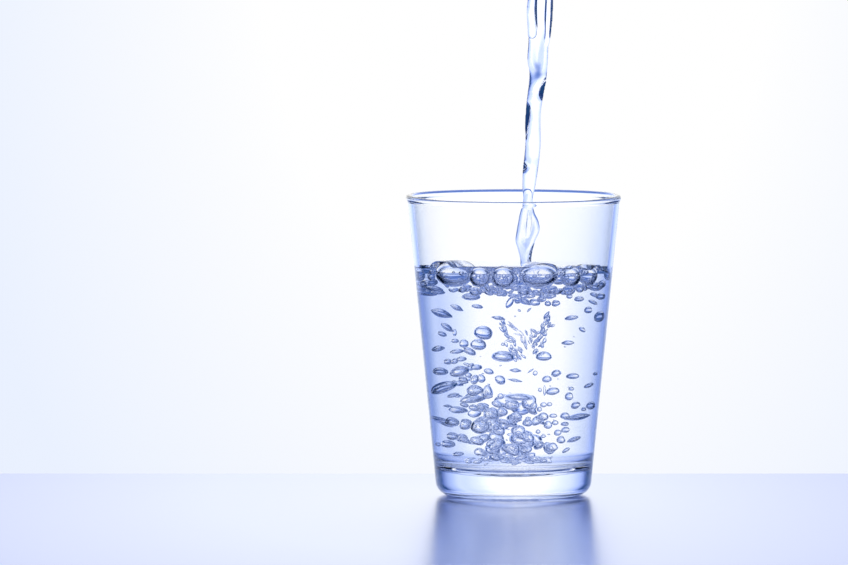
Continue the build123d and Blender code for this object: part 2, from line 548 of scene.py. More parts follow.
# The larger rising bubbles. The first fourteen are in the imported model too.
RISING = bubbles_seen(
    (-15.9, 75.4, 7, 3.4, 0, 0.2, 0.06, -16), (-27, 68.7, 8.2, 3.7, -17, 0.8, 0.06, -8),
    (-11.4, 61.6, 7.4, 5.9, -25, 0, 0.06, -6), (-4, 53.1, 8.9, 4.8, -4, 0.1, 0.06, -10),
    (11.2, 53.1, 5.9, 4.1, 0, 0, 0.06, -8), (-20, 47.2, 7.4, 4.8, 15, 0.3, 0.12, -12),
    (22, 45.3, 4.8, 2.6, 0, 0, 0.06, 0), (-26.6, 40.9, 9.4, 4.8, 20, 0.3, 0.1, -10),
    (14.6, 40.1, 5.2, 3.3, 10, 0, 0.06, -12), (-3, 36, 8.6, 6, -12, 0, 0.15, 4),
    (23.9, 30.1, 9.3, 3, 8, 0.8, 0.1, -8), (-8, 27.5, 8.2, 6.4, 25, 0, 0.18, -6),
    (3.5, 21.5, 9.6, 6.8, -15, 0, 0.18, -2), (-24.4, 19.8, 4.8, 3.4, 0, 0, 0.06, -4),
    (-28.1, 76.7, 4.8, 2.2), (-13.6, 71.8, 4.5, 1.9, -12), (-21.1, 71.1, 5.6, 2.4, -25, 0.8),
    (-24.8, 63.7, 5.2, 2.6, -35, 0.5), (-21.9, 61.8, 1.6, 3), (-26.6, 61.1, 3.3, 2.2, -20),
    (-28.1, 55.5, 4.8, 2.6, 12, 0.5, 0.1), (-13.3, 57.4, 5.9, 4.8, -15), (-18.5, 57.7, 3.7, 3.7),
    (-21.8, 58.7, 3, 1.9), (-21.1, 54.8, 5.6, 2.2, 8, 0.5), (-16.6, 55, 5.2, 3, -25),
    (-19.4, 52, 4.1, 2.2, 10), (-24.4, 50.8, 3.3, 2.4, 0, 0, 0.12), (-21.8, 51.2, 3, 2.4, 30),
    (-27.4, 47, 5.2, 3.3), (-16, 50, 3, 1.5, 25, 0.6), (-22.6, 38.4, 4.8, 1.9, 15, 0.4),
    (-18.8, 44.4, 3.7, 2.6, -10), (-14.6, 44.4, 3, 4.2, -20), (-12, 44.8, 3, 3.7, 10),
    (-16.8, 46, 2.6, 2.2), (-9.3, 47.6, 4, 2.6, -20, 0.3), (-5.1, 44.4, 4.8, 3.7, -45, 0.3, 0.1),
    (0.6, 48.1, 4.8, 1.9, -6, 0.8), (0.4, 44.4, 5.6, 1.5, -12, 0.9, 0.1),
    (6.3, 48, 3.3, 0.9, 40, 0.9), (7.9, 47, 1.9, 2.2), (12.3, 44.7, 3.7, 3, 10),
    (15.8, 46.8, 4.1, 3, 15, 0.1, 0.12), (27.6, 70, 3, 3), (32, 67.2, 3.3, 4.5, 10, 0, 0.1),
    (32.4, 74.8, 3, 3), (29.8, 75.6, 3, 1.9, -20), (21.3, 67.4, 5.2, 2.2, 8, 0.3),
    (25.3, 62.9, 2.8, 1.9, -35), (20.1, 58.1, 4.8, 2.2, 0, 0.5), (30.3, 46, 1.5, 1.5),
    (27.9, 41.8, 3.3, 1.9, 15), (28.7, 34, 3, 3.3), (22.9, 34.6, 3.7, 3.2, 20, 0.2, 0.1),
    (25.9, 33, 1.9, 1.7), (20.5, 37.9, 3.3, 3.5), (21.3, 40.9, 2.2, 1.7), (9.7, 40.7, 1.5, 1.9),
    (11.4, 40.3, 1.2, 4.6, 0, 0.2), (10.9, 30.6, 4.1, 3.7), (14.6, 31, 3, 1.9), (19, 30.8, 3.7, 3),
    (12.7, 27.5, 3.3, 3.5), (15.3, 28.4, 2.6, 2.2), (19, 27.8, 3.2, 1.9), (19.2, 25.6, 3.3, 2.6),
    (16.4, 24.6, 3, 2.8, 30, 0.2), (17.5, 21.9, 3.4, 3.3), (22.4, 21.9, 5.2, 2.2, 18, 0.4),
    (14.2, 19.1, 4.8, 4.2, 10, 0, 0.15), (19.4, 18, 3.3, 1.7, 35), (9, 25.1, 1.9, 1.9),
    (10.9, 23.4, 2.2, 1.5, 15), (-28.1, 19.6, 1.9, 1.9), (-28.5, 29.2, 5.9, 1.6, -5, 0.7, 0.1),
    (-24.8, 27.1, 4.5, 1.3, -14, 0.7), (-22.8, 23, 4.4, 3.5), (-18.4, 21.8, 4.5, 2.6, -20),
    (-20.6, 16.4, 4.3, 2.4, 10), (-23, 28.4, 5.2, 4, 0, 0, 0.1), (-18, 27.6, 5.4, 4.6, 20, 0, 0.15),
    (-14.8, 40.3, 6.2, 4.7, 10, 0, 0.22), (-9.8, 39.9, 4.3, 5.4, 0, 0, 0.15),
    (-15.8, 37, 9.5, 3.5, 8, 0.3, 0.2), (-24.5, 34.3, 3.3, 1.3, 0, 0.8),
    (-20.8, 32.6, 7.8, 3.1, -6, 0.4, 0.2), (-14.8, 33.9, 3.9, 3.1, -20, 0, 0.15),
    (2.1, 38.2, 10.3, 3.7, -5, 0.1, 0.15), (5.8, 35.7, 5.6, 6.8, -10, 0, 0.15),
    (-4.9, 38.4, 2.5, 2.5), (-6.1, 35.3, 4.5, 2.9, -25, 0.2, 0.12),
    (-0.6, 35.1, 5.4, 4.1, 15, 0, 0.2), (-8.4, 31.6, 6.2, 6.2, 0, 0, 0.24),
    (-4.3, 32.4, 4.3, 3.7, 0, 0, 0.15), (0.7, 30.8, 4.5, 3.5, -10, 0, 0.2),
    (-3, 28.9, 6.2, 2.7, -20, 0.3, 0.2), (5.2, 28.5, 4.1, 3.3, 0, 0, 0.12),
    (-25.7, 27.9, 8.5, 2.3, -20, 0.9, 0.1), (-12.5, 27.1, 7, 6.6, 0, 0, 0.26),
    (-5.5, 25.6, 4.9, 4.9, 0, 0, 0.24), (1.5, 25.4, 5.2, 4.9, -35, 0.1, 0.24),
    (5, 22.7, 4.7, 4.3, -25, 0.1, 0.24), (-19.1, 22.3, 4.7, 4.1, 0, 0, 0.12),
    (-13.4, 21.7, 5.6, 3.7, -15, 0.1, 0.2), (-6.8, 20.3, 7.8, 5.4, 20, 0, 0.26),
    (-1, 18.6, 7.8, 6.2, -20, 0, 0.26), (-12.3, 17.2, 4.9, 3.5, -20, 0.1, 0.2),
    (4.6, 18.2, 4.7, 3.3, 15, 0, 0.2), (-6.8, 15.3, 6.2, 3.7, 0, 0, 0.24),
    (2.7, 14.9, 5.8, 3.3, 25, 0.2, 0.24), (7.3, 14.5, 3.5, 2.9), (-16.7, 12.9, 2.5, 2.1),
    (-13.4, 12.9, 3.5, 2.3, 10, 0.2, 0.15), (0.3, 12.8, 4.9, 2, 0, 0.3, 0.2),
    (5.6, 12.6, 4.9, 1.6, -20, 0.6, 0.15), (13.5, 18.6, 4.5, 5.8, 25, 0, 0.22),
    (11, 35.1, 2.5, 2.3), (13.2, 35.3, 2.1, 1.9), (9.5, 33.5, 1.9, 2.3),
    (-1.5, 73.1, 2.7, 5.4, -25, 0.2, 0.1, -6), (3.5, 74.1, 6.6, 2.6, -32, 0.3, 0.22),
    (-0.2, 75.9, 4.6, 2, -10, 0.2, 0.2), (7.5, 73.3, 4.3, 3.1, -20, 0.1, 0.24),
    (10.3, 74.4, 3.4, 2.6, 10, 0, 0.2), (6, 75.9, 4, 2.3, 0, 0, 0.2), (12.6, 72.9, 2.6, 2.4),
    (15.6, 72.9, 3.3, 2.7, 10, 0.1, 0.15), (13.7, 75.6, 3.1, 2, 0, 0.1, 0.15),
    (20.6, 75.4, 2.3, 2.1), (24.2, 74.3, 3.7, 2.3, 0, 0.2), (29.4, 72.9, 3.6, 1.7, -25, 0.4),
    (2, 70.4, 1.4, 1, -45), (5.7, 70.7, 2.6, 0.9, 50, 0.7), (-5.8, 67.6, 5.3, 1.7, -12, 0.8, 0.12),
    (-4, 57.8, 1.6, 1.4), (-32, 79.8, 6, 4.6, 10, 0.2, 0.12), (-34.6, 78.4, 3.6, 4.6),
    (-29.6, 77.9, 6.4, 2.6, -5, 0.5, 0.1), (-33, 76.2, 5, 3, -10, 0.3, 0.12),
    (30.6, 78.5, 4.6, 3.8, 0, 0, 0.1), (34, 80.3, 3.6, 5, 0, 0, 0.1), (27.4, 79, 4, 3),
)


@dataclass(frozen=True)
class Swarm:
    """A crowd of small bubbles, as it shows from the front.

    Attributes:
        across: Offset of its middle as shown.
        level: Height of its middle.
        half_width: Half of its width as shown.
        half_height: Half of its height.
        count: How many bubbles it has.
        smallest: Width of its smallest bubbles.
        largest: Width of its largest.
        bend: How much their outlines are bent.
        near: How far before the middle of the water it reaches.
        far: How far past the middle it reaches.
    """

    across: float
    level: float
    half_width: float
    half_height: float
    count: int
    smallest: float
    largest: float
    bend: float
    near: float = -20.0
    far: float = 14.0


SWARMS = [
    Swarm(-2, 31, 13, 7, 19, 2.2, 5.5, 0.24),
    Swarm(-3, 19, 14, 6, 22, 2.2, 5.5, 0.24),
    Swarm(-2, 13.4, 15, 1.6, 34, 1.4, 3.4, 0.12),
    Swarm(-15, 37, 6.5, 5, 10, 2, 5, 0.22),
    Swarm(-17, 45, 6, 5, 10, 1.2, 3.6, 0.12),
    Swarm(6.5, 77, 9, 3, 13, 2, 6, 0.24, -20, 4),
    Swarm(0, 79.2, 33, 2.2, 64, 1.8, 4.8, 0.12, -31, -14),
    Swarm(6, 54, 22, 20, 16, 0.5, 0.9, 0),
    Swarm(8, 22, 14, 12, 14, 0.5, 1.2, 0),
]


@dataclass(frozen=True)
class Trail:
    """Wisps of air drawn out along a line, as they show from the front.

    Attributes:
        points: Offset and height of points along the line.
        count: How many wisps it has.
        length: Length of a wisp.
        thickness: Its thickness.
        spread: How far the wisps stray from the line.
    """

    points: tuple[tuple[float, float], ...]
    count: int
    length: float
    thickness: float
    spread: float


# The plume under the jet: two arms of wisps that meet half way down.
TRAILS = [
    Trail(((-4.5, 66.4), (-3.7, 64.1), (-3.1, 61.9), (-1.7, 60.1), (-0.3, 59)), 26, 2.6, 1.1, 0.4),
    Trail(((-1.5, 58.6), (0.0, 55.0), (1.2, 53.9), (2.3, 52.5)), 18, 2.6, 1.2, 0.8),
    Trail(((-1.7, 65.3), (0.0, 63.6), (2.3, 61.9), (3.4, 59.0), (4.6, 57.1)), 14, 2.6, 0.6, 0.6),
    Trail(
        ((12.6, 67.9), (12.0, 65.6), (11.1, 63.6), (10.3, 60.8), (9.2, 59.0), (8.6, 56.7)),
        34,
        2.6,
        1.3,
        0.8,
    ),
    Trail(((13.8, 65.0), (12.6, 63.1), (10.9, 60.8)), 10, 2.8, 0.9, 0.4),
    Trail(((6.8, 62.6), (8.2, 60.9), (9.2, 59.9)), 12, 2.6, 1.2, 0.7),
    Trail(((5.6, 61.9), (7.2, 58.9), (7.6, 57.3), (8.4, 54.5)), 14, 2.6, 0.8, 0.6),
]


@dataclass
class Crowd:
    """Places bubbles in the water, clear of each other and of the glass. Sizes in millimetres.

    Attributes:
        tumbler: The glass that holds the water.
        draw: Where random numbers come from.
        top: Height that no bubble reaches above.
        gap: Thinnest wall of water between two bubbles.
        wall_gap: Thinnest wall of water between a bubble and the glass.
        bubbles: Those that have a place.
    """

    tumbler: Tumbler
    draw: random.Random
    top: float
    gap: float = 0.15
    wall_gap: float = 0.8
    bubbles: list[Bubble] = field(default_factory=list)

    # Nearest, furthest and favoured depth of a bubble that has none of its own.
    NEAREST: ClassVar = -24
    FURTHEST: ClassVar = 16
    FAVOURED: ClassVar = -12
    TRIES: ClassVar = {"seen": 60, "wisp": 30, "swarm": 40}

    def place(self, seen: float, level: float, beyond: float) -> Vector:
        """Real place of a point in the water that shows at some offset from the axis.

        Args:
            seen: Offset as shown.
            level: Its height.
            beyond: How far past the middle of the water it lies.

        Returns:
            The place. A level line of sight keeps index times radius times the sine of its angle to
            the surface, which gives what it turns through at the wall and at the bore.
        """
        wall, bore = self.tumbler.outer_radius(level), self.tumbler.bore_radius(level)
        at_wall = math.asin(seen / wall) - math.asin(seen / (GLASS_INDEX * wall))
        at_bore = math.asin(seen / (GLASS_INDEX * bore)) - math.asin(seen / (WATER_INDEX * bore))
        cos, sin = math.cos(at_wall + at_bore), math.sin(at_wall + at_bore)
        nearest = seen / WATER_INDEX
        return Vector((nearest * cos - beyond * sin, nearest * sin + beyond * cos, level))

    def real_width(self, seen: float, level: float, beyond: float, width: float) -> float:
        """Real width of a bubble that shows so wide.

        Args:
            seen: Offset of its middle as shown.
            level: Its height above the table.
            beyond: How far past the middle of the water it lies.
            width: Width as shown, of which what lies outside the glass isn't counted.

        Returns:
            Its width.
        """
        edge = self.tumbler.outer_radius(level) - 0.1
        left = max(-edge, seen - width / 2)
        right = min(edge, seen + width / 2)
        across = (self.place(right, level, beyond) - self.place(left, level, beyond)).length
        return across * width / (right - left)

    def fits(self, bubble: Bubble) -> bool:
        """Whether a bubble is clear of the glass, of the surface and of every other bubble."""
        across = bubble.centre.xy
        off_axis = across.length > 0.01
        outwards = Vector((*across, 0)).normalized() if off_axis else Vector((1, 0, 0))
        bore = self.tumbler.bore_radius(bubble.centre.z - bubble.height / 2)
        if across.length + bubble.extent(outwards) > bore - self.wall_gap:
            return False
        floor = self.tumbler.floor_height + self.wall_gap
        up = bubble.extent(Vector((0, 0, 1)))
        low, high = bubble.centre.z - up, bubble.centre.z + up
        corner = self.tumbler.bore_corner_radius
        if across.length > bore - corner - bubble.reach and low < floor + corner / 3:
            return False
        if low < floor or high > self.top:
            return False
        return all(bubble.clears(other, self.gap) for other in self.bubbles)

    def settle(self, tries: Iterable[Bubble]) -> bool:
        """Adds the first of some bubbles that fits, and tells whether one did."""
        for bubble in tries:
            if self.fits(bubble):
                self.bubbles.append(bubble)
                return True
        return False

    def add_seen(self, seen: Seen) -> bool:
        """Adds a bubble where it shows, at its own depth or at the first free one.

        Args:
            seen: The bubble as it shows.

        Returns:
            Whether it found a place.
        """
        draw = self.draw

        def at_depth(beyond: float) -> Bubble:
            """The bubble at some depth."""
            width = self.real_width(seen.across, seen.level, beyond, seen.width)
            return Bubble(
                self.place(seen.across, seen.level, beyond),
                width,
                seen.height,
                seen.tilt,
                depth=min(width, seen.width) * draw.uniform(0.8, 1.1),
                bend=seen.bend,
                pointed=seen.pointed,
                seed=draw.randrange(SEEDS),
            )

        if seen.beyond is not None:
            self.bubbles.append(at_depth(seen.beyond))
            return True
        depths = [draw.uniform(self.NEAREST, self.FURTHEST) for _ in range(self.TRIES["seen"])]
        return self.settle(map(at_depth, sorted(depths, key=lambda y: abs(y - self.FAVOURED))))

    def add_trail(self, trail: Trail) -> int:
        """Adds a trail's wisps, each along its line.

        Args:
            trail: The trail.

        Returns:
            How many of them found a place.
        """
        line, draw = np.array(trail.points), self.draw

        def wisp(middle: np.ndarray, lean: float) -> Bubble:
            """A wisp somewhere near a point of the line, leaning much as the line does."""
            across, level = middle + np.array([draw.gauss(0, trail.spread) for _ in range(2)])
            size = draw.uniform(0.6, 1.3)
            return Bubble(
                self.place(across, level, draw.uniform(-4, 5)),
                trail.length * size,
                trail.thickness * size,
                lean + draw.uniform(-22, 22),
                depth=trail.thickness * size * draw.uniform(0.8, 2.0),
                bend=0.3,
                pointed=0.5,
                seed=draw.randrange(SEEDS),
            )

        placed = 0
        for i in range(trail.count):
            way = (i + draw.random()) / trail.count * (len(line) - 1)
            k = min(int(way), len(line) - 2)
            along = line[k + 1] - line[k]
            middle, lean = line[k] + (way - k) * along, math.degrees(math.atan2(along[1], along[0]))
            placed += self.settle(wisp(middle, lean) for _ in range(self.TRIES["wisp"]))
        return placed

    def add_swarm(self, swarm: Swarm) -> int:
        """Adds a swarm's bubbles, the large ones first.

        Args:
            swarm: The swarm.

        Returns:
            How many of them found a place.
        """
        draw = self.draw

        def bubble(width: float) -> Bubble:
            """A bubble somewhere in the swarm."""
            angle, out = draw.uniform(0, 2 * math.pi), math.sqrt(draw.random())
            across = swarm.across + swarm.half_width * out * math.cos(angle)
            level = swarm.level + swarm.half_height * out * math.sin(angle)
            return Bubble(
                self.place(across, level, draw.uniform(swarm.near, swarm.far)),
                width,
                width * draw.uniform(0.5, 1.0),
                draw.uniform(-50, 50),
                depth=width * draw.uniform(0.7, 1.2),
                bend=swarm.bend,
                flat_below=draw.uniform(0, 0.4),
                pointed=draw.choice((0.0, 0.0, 0.4, 0.7)),
                seed=draw.randrange(SEEDS),
            )

        widths = [draw.uniform(swarm.smallest, swarm.largest) for _ in range(swarm.count)]
        return sum(
            self.settle(bubble(width) for _ in range(self.TRIES["swarm"]))
            for width in sorted(widths, reverse=True)
        )


# The water ----------------------------------------------------------------------------------------


@dataclass(frozen=True)
class Dome:
    """The film over a bubble that floats, and the air under it.

    Attributes:
        across: Its middle along X.
        along: Its middle along Y.
        half_width: Half of the film's width, at its widest.
        crown: How far the film's top stands above the flat water.
        sunk: How far the middle of the bubble lies under the flat water.
        film: Thickness of the film on top.
        foot_slope: Slope at which the film runs out into a fillet of water.
        wall_from: How far out a dome has to reach to be pressed against the glass.
        film_at_side: Thickness of the film at its sides, as a share of that on top.
    """

    across: float
    along: float
    half_width: float
    crown: float
    sunk: float
    film: float
    foot_slope: float = 3.5
    wall_from: float = 33.0
    film_at_side: float = 0.6

    def lift(self, x: np.ndarray, y: np.ndarray) -> np.ndarray:
        """How far the film stands above the flat water at each point.

        Args:
            x: Places along X.
            y: Places along Y.

        Returns:
            The lift, nought outside the foot. Down to a set slope the film is an oval, and below
            that a fillet of water that runs out onto the surface. Towards the glass it keeps its
            section, so that a dome by the wall is pressed against it.
        """
        middle = math.hypot(self.across, self.along)
        out_x, out_y = self.across / middle, self.along / middle
        outwards = (x - self.across) * out_x + (y - self.along) * out_y
        sideways = (x - self.across) * out_y - (y - self.along) * out_x
        on_wall = middle + self.half_width > self.wall_from
        away = np.hypot(sideways, np.minimum(outwards, 0) if on_wall else outwards)
        tall = self.crown + self.sunk
        ratio = self.foot_slope * self.half_width / tall
        share = ratio / math.sqrt(1 + ratio**2)
        edge = share * self.half_width
        edge_height = tall * math.sqrt(1 - share**2) - self.sunk
        inside = tall * np.sqrt(np.clip(1 - (away / self.half_width) ** 2, 0, 1)) - self.sunk
        if edge_height <= 0:
            return np.maximum(inside, 0)
        lean = math.atan(self.foot_slope)
        fillet = edge_height / (1 - math.cos(lean))
        foot = edge + fillet * math.sin(lean)
        run = np.clip((foot - away) / fillet, 0, 1)
        outside = fillet * (1 - np.sqrt(1 - run**2))
        return np.where(away < edge, inside, np.where(away < foot, outside, 0))

    def air(self, level: float, seed: int) -> Bubble:
        """The air under the film.

        Args:
            level: Height of the flat water.
            seed: Picks the bends of its wall.

        Returns:
            The air, as large as the film leaves it.
        """
        width = 2 * (self.half_width - self.film_at_side * self.film)
        height = 2 * (self.crown + self.sunk - self.film)
        centre = Vector((self.across, self.along, level - self.sunk))
        return Bubble(centre, width, height, bend=0.03, flat_below=0.0, seed=seed)


@dataclass
class Water:
    """The body of water: a surface with a meniscus and domes, and the air in it.

    Sizes are in millimetres, and angles in degrees round from the front, towards +X if positive.

    Attributes:
        tumbler: The glass that holds it.
        cad_meniscus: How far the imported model's meniscus climbs.
        cad_sunk: How far the middle of its domes' air lies under the flat water.
        film: Thickness of the film of those domes.
        raft_swell: How far the water stands up at the front, under the raft of bubbles.
        back_dip: How far it lies down at the back.
        right_dip: How far it lies down at the right wall.
        jet_across: Where the jet comes in.
        jet_clearance: How far the small domes keep from its middle.
        headroom: Water over the highest of the rising bubbles.
        ring_of_domes: Radius outside which the rings of the surface are close together.
    """

    tumbler: Tumbler
    cad_meniscus: float = 1.0
    cad_sunk: float = 2.0
    meniscus_rise: float = 0.4
    meniscus_width: float = 0.6
    film: float = 0.25
    raft_swell: float = 1.6
    back_dip: float = 1.8
    right_dip: float = 3.2
    jet_across: float = 4.7
    jet_clearance: float = 3.4
    headroom: float = 2.2
    segments: int = 512
    rings_near_wall: int = 100
    ring_of_domes: float = 8.0
    rings_inside: int = 10
    side_step: float = 8.0
    seed: int = 21
    domes: list[Dome] = field(default_factory=list)

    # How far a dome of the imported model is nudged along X, Y and Z.
    SHIFTS: ClassVar = {
        "left": (2.0, -2.6, 0.7),
        "right_mid": (-0.6, 0.0, 0.6),
        "right_wall": (-1.5, -1.8, 0.0),
    }
    # Smallest and largest half width of the smaller domes, and how many are tried.
    SMALL_SIZES: ClassVar = ((3.0, 4.0, 8), (2.0, 3.0, 16), (1.2, 2.0, 20), (0.7, 1.2, 14))

    def __post_init__(self) -> None:
        """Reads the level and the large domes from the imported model."""
        self.level = box_mm("water")[1].z - self.cad_meniscus
        for node in nodes_named("surface_bubble_"):
            low, high = box_mm(node)
            crown = high.z - self.level
            at_level = math.sqrt(1 - (self.cad_sunk / (crown + self.cad_sunk)) ** 2)
            half = (high.x - low.x) / 2 / at_level
            x, y, z = self.SHIFTS.get(node.removeprefix("surface_bubble_"), (0.0, 0.0, 0.0))
            across, along = (low.x + high.x) / 2 + x, (low.y + high.y) / 2 + y
            self.domes.append(Dome(across, along, half, crown + z, self.cad_sunk - z, self.film))

    def add_small_domes(self, draw: random.Random) -> None:
        """Fills the raft at the front with smaller domes, the larger ones first.

        Args:
            draw: Where random numbers come from.
        """
        tries, wall_gap = 60, 0.2
        from_side, to_side = 0.12, 0.88  # shares of the half circle at the front
        reach = self.tumbler.bore_radius(self.level) - wall_gap
        halves = [draw.uniform(low, high) for low, high, n in self.SMALL_SIZES for _ in range(n)]
        for half in halves:
            for _ in range(tries):
                angle = draw.uniform(from_side, to_side) * math.pi
                out = math.sqrt(draw.random()) * (reach - half)
                x, y = out * math.cos(angle), -out * math.sin(angle)
                from_jet = math.hypot(x - self.jet_across, y)
                if from_jet < half + self.jet_clearance or y > self.raft_back(x):
                    continue
                ways = ((math.hypot(x - d.across, y - d.along), d.half_width) for d in self.domes)
                if all(way > half + other for way, other in ways):
                    tall = half * draw.uniform(0.85, 1.2)
                    crown = min(0.5 * tall, draw.uniform(0.3, 1.3))
                    self.domes.append(Dome(x, y, half, crown, tall - crown, min(0.5, 0.25 * half)))
                    break

    @staticmethod
    def raft_back(x: float) -> float:
        """Where the raft of bubbles ends towards the back, nearest to the front in the middle."""
        return -16.0 + 8.0 * (x / 34.0) ** 2

    def height_at(self, x: np.ndarray, y: np.ndarray) -> np.ndarray:
        """Height of the surface over each point.

        Args:
            x: Places along X.
            y: Places along Y.

        Returns:
            The heights.
        """
        wall_zone, wall_zone_width = 26.0, 8.0
        swell_at, swell_width, swell_flat = -10, 50, 1.4
        dip_at, dip_width = 92, 20
        back_from, back_width = -5.0, 25.0
        front_width, over_the_edge = 20, 1.05
        radius = np.hypot(x, y)
        bore = self.tumbler.bore_radius(self.level)
        by_wall = np.clip((radius - wall_zone) / wall_zone_width, 0, 1)
        by_wall = by_wall**2 * (3 - 2 * by_wall)
        from_front = np.degrees(np.arctan2(x, -y))
        at_swell = np.clip(swell_flat - np.abs(from_front - swell_at) / swell_width, 0, 1)
        swell = self.raft_swell * by_wall * at_swell
        dip = self.right_dip * by_wall * np.exp(-(((from_front - dip_at) / dip_width) ** 2))
        behind = np.clip((y - back_from) / back_width, 0, 1)
        level = self.level + swell - dip - self.back_dip * behind**2 * (3 - 2 * behind)
        climb = (radius - bore + self.meniscus_width) / self.meniscus_width
        at_front = np.clip(0.5 - y / front_width, 0, 1)
        height = level + self.meniscus_rise * np.clip(climb, 0, over_the_edge) ** 2 * at_front
        for dome in self.domes:
            lift = dome.lift(x, y)
            height = np.where(lift > 0, np.maximum(height, self.level + lift), height)
        return height

    def shell(self) -> Shell:
        """The surface and the walls, as one closed shell."""
        edge = self.tumbler.bore_radius(self.level + self.meniscus_rise) + OVERLAP
        radii = np.concatenate(
            [
                np.linspace(0, self.ring_of_domes, self.rings_inside)[1:],
                np.linspace(self.ring_of_domes, edge, self.rings_near_wall)[1:],
            ]
        )
        corner = self.tumbler.bore_corner(OVERLAP)
        side = straight((edge, self.level + self.meniscus_rise), corner[0], self.side_step)
        below = side[1:] + corner[1:] + self.tumbler.floor(OVERLAP)[1:]
        outline = [(0.0, self.level)] + [(r, self.level) for r in radii] + below
        shell = lathe(outline, self.segments)
        top = 1 + len(radii) * self.segments
        vertices = np.array(shell.vertices)
        vertices[:top, 2] = self.height_at(vertices[:top, 0], vertices[:top, 1])
        rim = slice(top - self.segments, top)
        edges = self.tumbler.bore_radius(vertices[rim, 2]) + OVERLAP
        vertices[rim, :2] *= (edges / edge)[:, None]
        return Shell(list(vertices), [list(reversed(face)) for face in shell.faces])

    def build(self) -> bpy.types.Object:
        """Makes the water with its air, which stands for the CAD model's water and films."""
        draw = random.Random(self.seed)
        self.add_small_domes(draw)
        crowd = Crowd(self.tumbler, draw, self.level - self.headroom)
        crowd.bubbles = [dome.air(self.level, i) for i, dome in enumerate(self.domes)]
        lost = sum(not crowd.add_seen(seen) for seen in RISING)
        wisps = sum(map(crowd.add_trail, TRAILS))
        placed = sum(map(crowd.add_swarm, SWARMS))
        log.info(
            "%d domes, %d bubbles, of which %d wisps and %d in swarms; %d found no room",
            len(self.domes),
            len(crowd.bubbles),
            wisps,
            placed,
            lost,
        )
        shell = self.shell()
        for bubble in crowd.bubbles:
            shell.add(*bubble.shell())
        made = shell.piece("water_body", FRESH_WATER.material(), "water")
        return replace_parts(made, "water", *nodes_named("surface_bubble_"))


# The jet ------------------------------------------------------------------------------------------


@dataclass(frozen=True)
class JetSection:
    """Level section of the jet, an oval that may run out into a wedge at either side.

    Attributes:
        height: Its height above the table.
        offset: Its middle along X.
        width: Its width along X.
        depth: Its depth along Y.
        waist: How much thinner it is in the middle, as a share.
        left: How far its left side is a wedge, from 0 to 1.
        right: How far its right side is a wedge, from 0 to 1.
    """

    height: float
    offset: float
    width: float
    depth: float
    waist: float = 0.0
    left: float = 0.0
    right: float = 0.0


def jet_sections(*rows: tuple[float, ...]) -> list[JetSection]:
    """The sections of a strand, from rows of their numbers."""
    return [JetSection(*row) for row in rows]


JET = jet_sections(
    (84.6, 4.65, 4.4, 4.5), (87.8, 4.55, 4.1, 4.2, 0, 0, 0.8), (91.1, 4.45, 5.4, 4.6, 0.2, 0, 1),
    (94.8, 4.4, 7.4, 5, 0.5, 0.5, 0.7), (98.5, 5.4, 8.5, 5.4, 0.6, 0.2, 0.7),
    (102.2, 5.5, 7.4, 5.4, 0.6, 0.7, 0.6), (105.2, 5.1, 5.4, 4.8, 0.3), (109, 5.3, 3.6, 4.8),
    (114.1, 5.6, 4.6, 4.8, 0.1), (117.5, 5.9, 5.2, 5.2, 0.1), (122, 6.3, 5.7, 5.6, 0, 1),
    (126, 6.8, 5.7, 5.4, 0.1, 0.3), (131, 7.2, 5.7, 5.6, 0.1, 0.6), (139.3, 7.1, 5.8, 6.4, 0, 1),
    (144.9, 7.5, 5.75, 6.4, 0, 0.9, 0.3), (149.5, 8.2, 6.1, 6.8, 0, 0, 1),
    (154, 8.9, 6.4, 6.2, 0, 0, 0.9), (158, 9.1, 6.6, 5.6, 0.3, 0, 0.4), (162, 8.9, 7.6, 5, 0.6),
    (169, 9.2, 7.4, 3.2, 0.7, 0, 0.8), (175, 9.2, 7.4, 1.4, 0.4, 0, 1),
    (186, 9.6, 7.2, 1, 0.3, 0, 1),
)
LEFT_STRAND = jet_sections(
    (170, 6.8, 3, 3.6), (174.7, 6.9, 3.6, 4.2, 0, 0, 0.7), (180, 6.95, 4.3, 5, 0, 0, 1),
    (186.2, 7.3, 3.8, 4.2, 0, 0, 1),
)
RIGHT_STRAND = jet_sections(
    (167, 12.2, 1.6, 2.4), (172, 12.5, 2.8, 3.4, 0, 0.9, 0.9), (178, 12.8, 3.5, 4.2, 0, 1, 1),
    (186.2, 13.1, 3.3, 4, 0, 1, 1),
)
# A fold that stands out from the ribbon's thin middle in the mouth of the tumbler.
FOLD = jet_sections(
    (95, 4.9, 1.4, 2.4), (99.5, 5.6, 2, 4), (103.5, 5.9, 1.8, 4.4), (107.5, 5.4, 1.4, 4),
)


